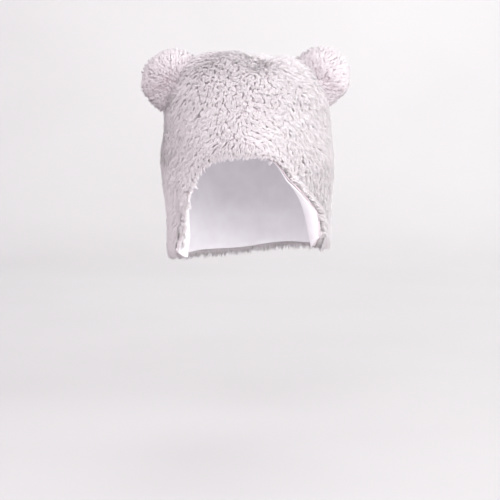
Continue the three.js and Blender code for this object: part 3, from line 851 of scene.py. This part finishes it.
def ramp(nodes, stops):
    node = nodes.new("ShaderNodeValToRGB")
    elements = node.color_ramp.elements
    while len(elements) < len(stops):
        elements.new(0.5)
    for element, (position, colour) in zip(elements, stops):
        element.position = position
        element.color = (*colour, 1)
    return node


def attribute(nodes, name):
    node = nodes.new("ShaderNodeAttribute")
    node.attribute_name = name
    return node.outputs["Fac"]


def maths(nodes, links, operation, a, b):
    node = nodes.new("ShaderNodeMath")
    node.operation = operation
    for socket, value in zip(node.inputs, (a, b)):
        if isinstance(value, (int, float)):
            socket.default_value = value
        else:
            links.new(value, socket)
    return node.outputs[0]


def noise(nodes, links, scale, detail):
    place = nodes.new("ShaderNodeTexCoord")
    node = nodes.new("ShaderNodeTexNoise")
    node.inputs["Scale"].default_value = scale
    node.inputs["Detail"].default_value = detail
    links.new(place.outputs["Object"], node.inputs["Vector"])
    return node.outputs["Fac"]


def bump(nodes, links, shader, height, distance, strength=1.0):
    node = nodes.new("ShaderNodeBump")
    node.inputs["Distance"].default_value = distance
    node.inputs["Strength"].default_value = strength
    links.new(height, node.inputs["Height"])
    links.new(node.outputs["Normal"], shader.inputs["Normal"])


def mottle(nodes, links, shader, scale, detail, stops):
    """A base colour that drifts between the stops."""
    colour = ramp(nodes, stops)
    links.new(noise(nodes, links, scale, detail), colour.inputs["Fac"])
    links.new(colour.outputs["Color"], shader.inputs["Base Color"])


def tuft_material():
    """Soft fibre, each tuft with a tone of its own: darker and pinker towards the root, which is painted
    shade deep in the pile, and paler at the tip.
    """
    material, nodes, links, shader = new_material("plush_tuft", {
        "Roughness": 0.85,
        "Specular IOR Level": 0.05,
        "Sheen Weight": 0.2,
        "Sheen Roughness": 0.5,
        "Sheen Tint": (0.96, 0.92, 0.95, 1),
        "Subsurface Weight": 0.25,
        "Subsurface Radius": (1.0, 0.85, 0.9),
        "Subsurface Scale": 0.003,
    })
    # The dark, pink low end is painted shade: it is reached at the roots and in the ears' seam crease
    colour = ramp(nodes, [
        (0.0, (0.62, 0.515, 0.56)),
        (0.22, (0.825, 0.752, 0.785)),
        (0.5, (0.945, 0.865, 0.895)),
        (1, (0.98, 0.925, 0.945)),
    ])
    along = maths(nodes, links, "MULTIPLY", attribute(nodes, "along"), 0.55)
    tone = maths(nodes, links, "MULTIPLY", attribute(nodes, "tone"), 0.55)
    links.new(maths(nodes, links, "ADD", along, tone), colour.inputs["Fac"])
    links.new(colour.outputs["Color"], shader.inputs["Base Color"])
    bump(nodes, links, shader, noise(nodes, links, scale=2600, detail=2), distance=0.00012, strength=0.6)
    return material


def backing_material():
    """Dense under-pile seen between the tufts, coloured darker and pinker than them as painted shade deep in
    the pile.
    """
    material, nodes, links, shader = new_material("plush_backing", {
        "Roughness": 0.95,
        "Specular IOR Level": 0.15,
        "Sheen Weight": 0.3,
    })
    # Painted shade: darker and pinker than the tufts, as deep in the pile
    stops = [(0.25, (0.76, 0.64, 0.69)), (0.75, (0.88, 0.78, 0.82))]
    mottle(nodes, links, shader, scale=520, detail=4, stops=stops)
    bump(nodes, links, shader, noise(nodes, links, scale=900, detail=3), distance=0.0008)
    return material


def jersey_material():
    """Smooth fine knit: ribs of tiny loops, a soft sheen and a faint lilac tint."""
    material, nodes, links, shader = new_material("jersey", {
        "Roughness": 0.72,
        "Specular IOR Level": 0.3,
        "Sheen Weight": 0.25,
        "Sheen Roughness": 0.4,
    })
    stops = [(0.3, (0.88, 0.85, 0.89)), (0.7, (0.94, 0.92, 0.955))]
    mottle(nodes, links, shader, scale=60, detail=3, stops=stops)
    wales = nodes.new("ShaderNodeTexWave")
    wales.wave_type = "BANDS"
    wales.bands_direction = "Z"
    wales.inputs["Scale"].default_value = 420
    wales.inputs["Distortion"].default_value = 1.5
    wales.inputs["Detail"].default_value = 1
    place = nodes.new("ShaderNodeTexCoord")
    links.new(place.outputs["Object"], wales.inputs["Vector"])
    knit = maths(nodes, links, "ADD", wales.outputs["Fac"], noise(nodes, links, scale=1500, detail=2))
    bump(nodes, links, shader, knit, distance=0.00008, strength=0.7)
    return material


TUFT = tuft_material()
BACKING_CLOTH = backing_material()
JERSEY = jersey_material()


# ---------------------------------------------------------------- the pieces

def finish_piece(piece, node):
    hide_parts(node)
    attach(piece, "root")
    return piece


def backing(name, node, grid):
    """The plush cloth without its tufts: the backing and the dense lower part of the pile."""
    params, faces = patch([grid])
    points = cloth(params[:, 0], params[:, 1])
    distance = nearest_edge(params[:, 0], section(params[:, 1], "height"))[0]
    ahead = np.cos(params[:, 0]) > 0
    thin = 1 - UNDER_PILE_THINS["share"] * fade(distance, UNDER_PILE_THINS["reach"]) * ahead
    bumps = UNDER_PILE_BUMPS * wave_noise(points, "under_pile")
    outer = (section(params[:, 1], "pile") * UNDER_PILE + bumps) * thin
    inner = np.full(len(params), -BACKING)
    piece = wall(name, params, faces, outer, inner, RIM["backing"], BACKING_CLOTH)
    return finish_piece(piece, node)


front = front_grid(BACKING_STEPS["seam"], BACKING_STEPS["front"])
back = back_grid(BACKING_STEPS["seam"], BACKING_STEPS["back"])
backing_front = backing("backing_front", "front_panel", front)
backing_back = backing("backing_back", "back_panel", back)

piles = {"front_panel": [], "back_panel": []}
for number, part in enumerate(PILES):
    pile = panel_pile(part, PILE_SEED + number, TUFT)
    piles[part["node"]].append(finish_piece(pile, part["node"]))

for number, (node, ear) in enumerate(EARS.items()):
    finish_piece(ear_pad(f"{node}_pad", ear, BACKING_CLOTH), node)
    finish_piece(ear_pile(f"{node}_pile", ear, EAR_SEED + number, TUFT), node)


def set_back(params, reach):
    """Points of the cloth, those near the face opening moved further into the cloth."""
    azimuth, fall = params.T
    height = section(fall, "height")
    distance, _, inward = nearest_edge(azimuth, height)
    step = reach * fade(distance, 3 * reach) * (np.cos(azimuth) > 0)
    moved_height = height + inward[:, 1] * step
    moved_fall = np.where(step > 0.01, fall_at(moved_height), fall)
    return np.stack([azimuth + inward[:, 0] * step / UNROLLED_RADIUS, moved_fall], -1)


def lining():
    """The jersey skin, with soft wrinkles, and its edge a little inside the edge of the pile."""
    front = front_grid(LINING_STEPS["seam"], LINING_STEPS["front"])
    back = back_grid(LINING_STEPS["seam"], LINING_STEPS["back"])
    params, faces = patch([front, back])
    params = set_back(params, LINING_SET_BACK)
    points = cloth(params[:, 0], params[:, 1])
    wrinkle = LINING_WRINKLE["depth"] * wave_noise(points * (1, 1, LINING_WRINKLE["upright"]), "wrinkles")
    outer = -BACKING - GAP + np.minimum(wrinkle, 0) * LINING_WRINKLE["outside"]
    inner = outer - LINING - LINING_UNEVEN * wave_noise(points, "uneven")
    piece = wall("lining_jersey", params, faces, outer, inner, RIM["lining"], JERSEY)
    return finish_piece(piece, "lining")


lining_jersey = lining()


# ---------------------------------------------------------------- floor, light and camera, in metres

FLOOR = -0.339  # the hat is held at the height of a head on a stand
SWEEP = {"radius": 1.2, "far": 1.4, "wide": 30.0, "tall": 5.0, "first_angle": 0.1, "steps": 16}
MIDDLE = (0, 0, -0.09)  # of the hat
LIGHTS = [
    {"name": "key", "place": (2.25, -1.85, 0.65), "target": MIDDLE, "size": 3.3, "power": 93,
     "colour": (1.0, 1.0, 0.99)},
    {"name": "fill", "place": (-0.2, -1.9, 1.4), "target": MIDDLE, "size": 2.2, "power": 29,
     "colour": (1.0, 0.98, 1.0)},
    {"name": "left_fill", "place": (-2.4, -1.3, 0.5), "target": MIDDLE, "size": 1.8, "power": 9,
     "colour": (1.0, 0.7, 0.82)},
    {"name": "wall_light", "place": (0.4, 1.45, 1.3), "target": (0.3, 1.75, -0.34), "size": 1.6, "power": 11,
     "colour": (1, 1, 1)},
]
ROOM = {"colour": (0.98, 0.975, 1.0, 1), "strength": 0.86}
EYE = (0.0023, -1.636, -0.0113)
PITCH = math.radians(5.585)
LENS = 126.6  # in millimetres, like the sensor
SENSOR = 36


def backdrop():
    """A pale sweep: a floor that curves up into a wall behind."""
    material, nodes, links, shader = new_material("sweep", {"Roughness": 0.6})
    stops = [(0.3, (0.578, 0.566, 0.57)), (0.7, (0.6, 0.588, 0.592))]
    mottle(nodes, links, shader, scale=3, detail=2, stops=stops)
    radius, far, wide = SWEEP["radius"], SWEEP["far"], SWEEP["wide"]
    profile = [(-wide, 0.0), (far, 0.0)]
    for angle in np.linspace(SWEEP["first_angle"], math.pi / 2, SWEEP["steps"]):
        profile.append((far + radius * math.sin(angle), radius * (1 - math.cos(angle))))
    profile.append((far + radius, SWEEP["tall"]))
    vertices = [(x, y, z + FLOOR) for y, z in profile for x in (-wide, wide)]
    faces = [[2 * k, 2 * k + 1, 2 * k + 3, 2 * k + 2] for k in range(len(profile) - 1)]
    smooth_object("sweep", np.array(vertices) / MM, faces, material)


def area_light(name, place, target, size, power, colour):
    data = bpy.data.lights.new(name, "AREA")
    data.shape = "DISK"
    data.size = size
    data.energy = power
    data.color = colour
    light = bpy.data.objects.new(name, data)
    light.location = place
    light.rotation_euler = (Vector(target) - Vector(place)).to_track_quat("-Z", "Y").to_euler()
    bpy.context.collection.objects.link(light)


def room_light():
    world = bpy.data.worlds.new("soft_room")
    world.use_nodes = True
    background = world.node_tree.nodes["Background"]
    background.inputs["Color"].default_value = ROOM["colour"]
    background.inputs["Strength"].default_value = ROOM["strength"]
    bpy.context.scene.world = world
    bpy.context.scene.view_settings.view_transform = "Standard"


def camera():
    """A long lens a little above the middle of the hat, pitched down towards the stand's foot."""
    data = bpy.data.cameras.new("camera")
    data.lens = LENS
    data.sensor_width = SENSOR
    eye = bpy.data.objects.new("camera", data)
    eye.location = EYE
    eye.rotation_euler = (math.pi / 2 - PITCH, 0, 0)
    bpy.context.collection.objects.link(eye)
    bpy.context.scene.camera = eye


backdrop()
for light in LIGHTS:
    area_light(**light)
room_light()
camera()
